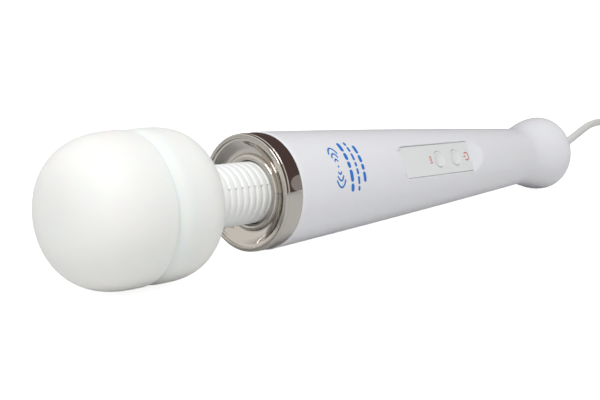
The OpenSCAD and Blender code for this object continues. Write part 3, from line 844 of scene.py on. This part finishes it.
def make_front_shell():
    """Front half of the casing as a closed shell with the pocket, its ramp and rounded lip."""
    front = [9.8 + d for d in (0, 0.12, 0.3)] + [12 + 4 * k for k in range(18)]
    back = [160 + 4 * k for k in range(13)] + [WAIST_AT + k for k in range(28)]
    pocket = shell_rows()
    bm = bmesh.new()
    outer_rows, inner_rows = [], []
    columns = shell_turn_columns()

    def add_row(points_at):
        outer_row, inner_row = [], []
        for column in columns:
            out, inside = points_at(column)
            if abs(column[1]) == 1.0 and column[0] == "turn":
                out += HALF_SEAM * MM * FACE
                inside += HALF_SEAM * MM * FACE
            outer_row.append(bm.verts.new(out))
            inner_row.append(bm.verts.new(inside))
        outer_rows.append(outer_row)
        inner_rows.append(inner_row)

    def seam_drop(column):
        return 0.1 if column[0] == "turn" and abs(column[1]) == 1.0 else 0.0

    def plain(station, radius, in_station, in_radius):
        def points_at(column):
            t = shell_turn(column, skin_r(min(station, RIM_AT)))
            return wand(station, radius - seam_drop(column), t), wand(in_station, in_radius, t)
        return points_at

    def with_pocket(x):
        def points_at(column):
            station = PANEL_MID + x
            for _ in range(4):
                r = skin_r(station)
                t = shell_turn(column, r)
                p = wand(station, r, t)
                y = (p - PANEL_ORIGIN).dot(SIDE) / MM
                target = x + bow_shift(x, y if column[0] == "y" else math.copysign(POCKET_HALF, y))
                station += target - (p - PANEL_ORIGIN).dot(PANEL_LONG) / MM
            r = skin_r(station)
            p = wand(station, r - seam_drop(column), t)
            local = p - PANEL_ORIGIN
            px, pz = local.dot(PANEL_LONG) / MM, local.dot(PANEL_OUT) / MM
            z = pocket_height(px, y, pz) if column[0] == "y" else pz
            q = wand(station, r - SHELL_WALL, t)
            qz = (q - PANEL_ORIGIN).dot(PANEL_OUT) / MM
            if z < pz - 1e-6:
                q = q + MM * (min(qz, z - TRAY_T) - qz) * PANEL_OUT
            return p + MM * (z - pz) * PANEL_OUT, q
        return points_at

    for k, station in enumerate(front):
        radius = skin_r(station) - (0.3, 0.08, 0.0)[min(k, 2)]
        add_row(plain(station, radius, station, radius - SHELL_WALL))
    for x in pocket:
        add_row(with_pocket(x))
    for station in back:
        add_row(plain(station, skin_r(station), station, skin_r(station) - SHELL_WALL))
    for d in range(0, 91, 9):
        a = math.radians(d)
        station = RIM_AT + RIM_ROUND * math.sin(a)
        radius = RIM_R - RIM_ROUND + RIM_ROUND * math.cos(a)
        add_row(plain(station, radius, min(RIM_AT + (RIM_ROUND - SHELL_WALL) * math.sin(a), INNER_END),
                      RIM_R - RIM_ROUND + (RIM_ROUND - SHELL_WALL) * math.cos(a)))
    for radius in (13.0, 10.0, 7.5, 6.0, 5.6, 5.35):
        add_row(plain(TAIL_END, radius, INNER_END, radius))
    add_row(plain(TAIL_END - 0.25, TAIL_HOLE_R, INNER_END, TAIL_HOLE_R))
    skin_rings(bm, outer_rows, closed_ring=False)
    skin_rings(bm, inner_rows, closed_ring=False)
    for rows in (0, -1):
        skin_rings(bm, [outer_rows[rows], inner_rows[rows]], closed_ring=False)
    for column in (0, -1):
        skin_rings(bm, [[row[column] for row in outer_rows], [row[column] for row in inner_rows]],
                   closed_ring=False)
    return new_piece("handle_front_skin", bm, 50)


wear(make_front_shell(), "shell", "shell_plastic", "handle_shell_front")

# ---------- control panel ----------

MODE_AT = 1.5
POWER_AT = 16.5
BUTTON_R = 3.9
BUTTON_GAP = 0.22


def ring(x, radius, count=64):
    """Circle in the panel's plane."""
    return [(x + radius * math.cos(2 * math.pi * k / count), radius * math.sin(2 * math.pi * k / count))
            for k in range(count)]


def make_panel():
    """Thin plate with a rounded upper edge and two eased button holes."""
    bevel = 0.28
    curve = bpy.data.curves.new("panel_outline", "CURVE")
    curve.dimensions = "2D"
    curve.fill_mode = "BOTH"
    curve.extrude = (PLATE_T - 0.02) / 2 - bevel
    curve.bevel_depth = bevel
    curve.bevel_resolution = 3
    curve.offset = -bevel
    loops = [pocket_outline(-0.06, PANEL_END - 0.1, 0.8), ring(MODE_AT, BUTTON_R + BUTTON_GAP),
             ring(POWER_AT, BUTTON_R + BUTTON_GAP)]
    for loop in loops:
        spline = curve.splines.new("POLY")
        spline.points.add(len(loop) - 1)
        for point, (x, y) in zip(spline.points, loop):
            point.co = (x, y, 0, 1)
        spline.use_cyclic_u = True
    holder = bpy.data.objects.new("panel_outline", curve)
    mesh = bpy.data.meshes.new_from_object(holder)
    bpy.data.objects.remove(holder)
    bpy.data.curves.remove(curve)
    bm = bmesh.new()
    bm.from_mesh(mesh)
    bpy.data.meshes.remove(mesh)
    bmesh.ops.remove_doubles(bm, verts=bm.verts, dist=0.001)
    for v in bm.verts:
        v.co = panel(v.co.x, v.co.y, v.co.z - (PLATE_T - 0.02) / 2)
    piece = new_piece("control_plate", bm, 60)
    piece.modifiers.new("even_shading", "WEIGHTED_NORMAL").keep_sharp = True
    return piece


def make_button(name, x):
    """Dished cap with a soft rim, a retaining flange and a stem."""
    dish = [(13.55 - math.sqrt(196 - r * r), r) for r in [3.62 * k / 16 for k in range(17)]]
    rim = rounded([dish[-1], (0.05, 3.72), (0.05, BUTTON_R), (-1.45, BUTTON_R)], [0, 0.1, 0.18, 0], 5)
    rest = [(-1.45, 4.7), (-2.2, 4.7), (-2.2, 1.5), (-4.2, 1.5), (-4.2, 0.0)]
    return lathe(name, dish[:-1] + rim + rest, sharp=40,
                 place=lambda z, r=0.0, t=0.0: panel(x + r * math.cos(t), r * math.sin(t), z),
                 turns=[2 * math.pi * k / 72 for k in range(72)])


wear(make_panel(), "panel", "panel_plastic", "control_panel")
wear(make_button("power_key_cap", POWER_AT), "panel", "panel_plastic", "power_button", body="power_key")
wear(make_button("mode_key_cap", MODE_AT), "panel", "panel_plastic", "mode_button", body="mode_key")

# ---------- printed marks ----------


def arc(cx, cy, radius, start, end, steps=24, squash=1.0):
    """Points along an arc, angles in degrees."""
    out = []
    for k in range(steps + 1):
        a = math.radians(start + (end - start) * k / steps)
        out.append((cx + squash * radius * math.cos(a), cy + radius * math.sin(a)))
    return out


def strokes(name, lines, place, thick=0.04):
    """Flat printed strokes with round ends: each line is (points, width)."""
    bm = bmesh.new()
    for points, width in lines:
        pts = [Vector(p) for p in points]
        total = sum((b - a).length for a, b in zip(pts, pts[1:]))
        stations, run = [], 0.0
        for i, p in enumerate(pts):
            if i:
                run += (p - pts[i - 1]).length
            stations.append(run)
        width = min(width, total)
        caps = [width / 2 * (1 - math.cos(math.radians(d))) for d in range(0, 91, 15)]
        middle = [total * k / 24 for k in range(25) if width / 2 < total * k / 24 < total - width / 2]
        samples = sorted(set(caps + [total - cap for cap in caps] + middle))
        rows = []
        for run in samples:
            i = max(k for k in range(len(pts) - 1) if stations[k] <= max(run, 0.0) + 1e-6)
            gap = max(stations[i + 1] - stations[i], 1e-9)
            p = pts[i].lerp(pts[i + 1], min(1.0, (run - stations[i]) / gap))
            along = (pts[i + 1] - pts[i]).normalized()
            across = Vector((-along.y, along.x))
            end = min(run, total - run)
            half = width / 2
            if end < half:
                half = math.sqrt(max(0.0, half * half - (half - end) ** 2))
            half = max(half, 0.02)
            row = []
            for side, z in ((-1, -0.02), (-1, thick), (0, thick), (1, thick), (1, -0.02), (0, -0.02)):
                q = p + side * half * across
                row.append(bm.verts.new(place(q.x, q.y, z)))
            rows.append(row)
        skin_rings(bm, rows)
        bm.faces.new(rows[0])
        bm.faces.new(rows[-1])
    return new_piece(name, bm, 40)


def on_skin(station, around, z=0.0):
    """Point on the handle's skin: station, distance round it from the panel's line, height over it."""
    r = skin_r(station)
    return wand(station, r + z, around / r)


POWER_MARK_AT = 26.5
MODE_MARK_AT = -5.7
# Printed motif: place of its dot, radius and width of its arcs, then for each column of dashes its
# station, its two ends round the skin, its width and the lengths of its dashes
MOTIF_AT = (35.0, 1.2)
MOTIF_ARCS = ((3.4, 0.75), (6.2, 0.8), (9.1, 0.85))
DASH_COLUMNS = ((42.6, -10.4, 13.0, 2.1, (3.6, 5.4, 3.0)),
                (47.2, -10.4, 13.4, 1.4, (2.2, 3.6, 2.8)),
                (51.6, -6.8, 10.8, 1.9, (4.6, 2.8, 3.6)))
DASH_GAP = 0.7


def make_power_mark():
    """Open ring with a bar in its gap."""
    x = POWER_MARK_AT
    return strokes("power_mark", [(arc(x, 0, 2.0, 180 + 42, 180 + 318, 30), 0.5),
                                  ([(x - 2.5, 0), (x - 0.5, 0)], 0.5)], panel)


def make_mode_mark():
    """Short bar between two pairs of arcs."""
    x = MODE_MARK_AT
    lines = [([(x - 0.75, 0), (x + 0.75, 0)], 0.62)]
    for side in (90, 270):
        lines.append((arc(x, 0, 1.05, side - 48, side + 48, 12), 0.32))
        lines.append((arc(x, 0, 1.65, side - 40, side + 40, 12), 0.32))
    return strokes("mode_mark", lines, panel)


def make_front_mark():
    """Generic printed motif: a dot inside open arcs, and three columns of plain dashes."""
    x, y = MOTIF_AT
    lines = [([(x, y - 0.5), (x, y + 0.5)], 1.7)]
    for radius, width in MOTIF_ARCS:
        lines.append((arc(x, y, radius, 40, 140, 24, 0.42), width))
        lines.append((arc(x, y, radius, 220, 320, 24, 0.42), width))
    for station, low, high, width, pattern in DASH_COLUMNS:
        at, k = low, 0
        while at < high - width:
            long = min(pattern[k % len(pattern)], high - at)
            lines.append(([(station, at), (station, at + long)], width))
            at += long + DASH_GAP
            k += 1
    return strokes("front_mark", lines, on_skin)


wear(make_front_mark(), "print", "shell_plastic")
wear(make_power_mark(), "icon", "panel_plastic")
wear(make_mode_mark(), "icon", "panel_plastic")

# ---------- floor and light ----------

FLOOR_HALF = 20
FLOOR_Z = -0.0006


def make_floor():
    """Plain pale floor that stays white behind the object."""
    bm = bmesh.new()
    corners = ((-1, -1), (1, -1), (1, 1), (-1, 1))
    bm.faces.new([bm.verts.new((x * FLOOR_HALF, y * FLOOR_HALF, FLOOR_Z)) for x, y in corners])
    floor = new_piece("floor", bm)
    mat, tree, shader = material("floor", (0.74, 0.74, 0.735), 0.8)
    glow = add(tree, "ShaderNodeEmission", Color=(1, 1, 1, 1), Strength=0.85)
    both = tree.nodes.new("ShaderNodeAddShader")
    seen = tree.nodes.new("ShaderNodeMixShader")
    path = tree.nodes.new("ShaderNodeLightPath")
    out = tree.nodes["Material Output"]
    tree.links.new(shader.outputs[0], both.inputs[0])
    tree.links.new(glow.outputs[0], both.inputs[1])
    tree.links.new(path.outputs["Is Camera Ray"], seen.inputs[0])
    tree.links.new(shader.outputs[0], seen.inputs[1])
    tree.links.new(both.outputs[0], seen.inputs[2])
    tree.links.new(seen.outputs[0], out.inputs["Surface"])
    floor.data.materials.append(mat)


def make_world():
    """White room: even soft light, and a darker, warmer far side for polished metal to reflect."""
    world = bpy.data.worlds.new("studio")
    bpy.context.scene.world = world
    world.use_nodes = True
    tree = world.node_tree
    tree.nodes.clear()
    out = tree.nodes.new("ShaderNodeOutputWorld")
    soft = add(tree, "ShaderNodeBackground", Color=(0.985, 0.992, 1, 1), Strength=0.6)
    seen = add(tree, "ShaderNodeBackground", Color=(1, 1, 1, 1), Strength=1.2)
    glossy = add(tree, "ShaderNodeBackground", Strength=1.0)
    place = tree.nodes.new("ShaderNodeTexCoord")
    split = tree.nodes.new("ShaderNodeSeparateXYZ")
    tree.links.new(place.outputs["Generated"], split.inputs["Vector"])
    across = add(tree, "ShaderNodeMapRange", From_Min=-0.35, From_Max=0.45)
    tree.links.new(split.outputs["X"], across.inputs["Value"])
    ramp = tree.nodes.new("ShaderNodeValToRGB")
    ramp.color_ramp.elements[0].color = (0.95, 0.93, 0.9, 1)
    ramp.color_ramp.elements[1].color = (0.11, 0.075, 0.07, 1)
    tree.links.new(across.outputs["Result"], ramp.inputs["Fac"])
    tree.links.new(ramp.outputs["Color"], glossy.inputs["Color"])
    path = tree.nodes.new("ShaderNodeLightPath")
    first = tree.nodes.new("ShaderNodeMixShader")
    second = tree.nodes.new("ShaderNodeMixShader")
    tree.links.new(path.outputs["Is Glossy Ray"], first.inputs[0])
    tree.links.new(soft.outputs[0], first.inputs[1])
    tree.links.new(glossy.outputs[0], first.inputs[2])
    tree.links.new(path.outputs["Is Camera Ray"], second.inputs[0])
    tree.links.new(first.outputs[0], second.inputs[1])
    tree.links.new(seen.outputs[0], second.inputs[2])
    tree.links.new(second.outputs[0], out.inputs["Surface"])


def area_light(name, spot, target, size, power):
    """Round white area lamp that faces its target."""
    data = bpy.data.lights.new(name, "AREA")
    data.shape = "DISK"
    data.size = size
    data.energy = power
    lamp = bpy.data.objects.new(name, data)
    bpy.context.scene.collection.objects.link(lamp)
    lamp.location = spot
    lamp.rotation_mode = "QUATERNION"
    lamp.rotation_quaternion = (target - spot).to_track_quat("-Z", "Y")


make_floor()
make_world()
area_light("key_light", Vector((-0.55, -0.35, 1.0)), Vector((0, 0, 0.03)), 0.6, 6.5)
area_light("fill_light", Vector((0.9, -0.7, 0.2)), Vector((0.05, 0, 0.03)), 0.47, 0.15)
bpy.context.scene.view_settings.view_transform = "Standard"
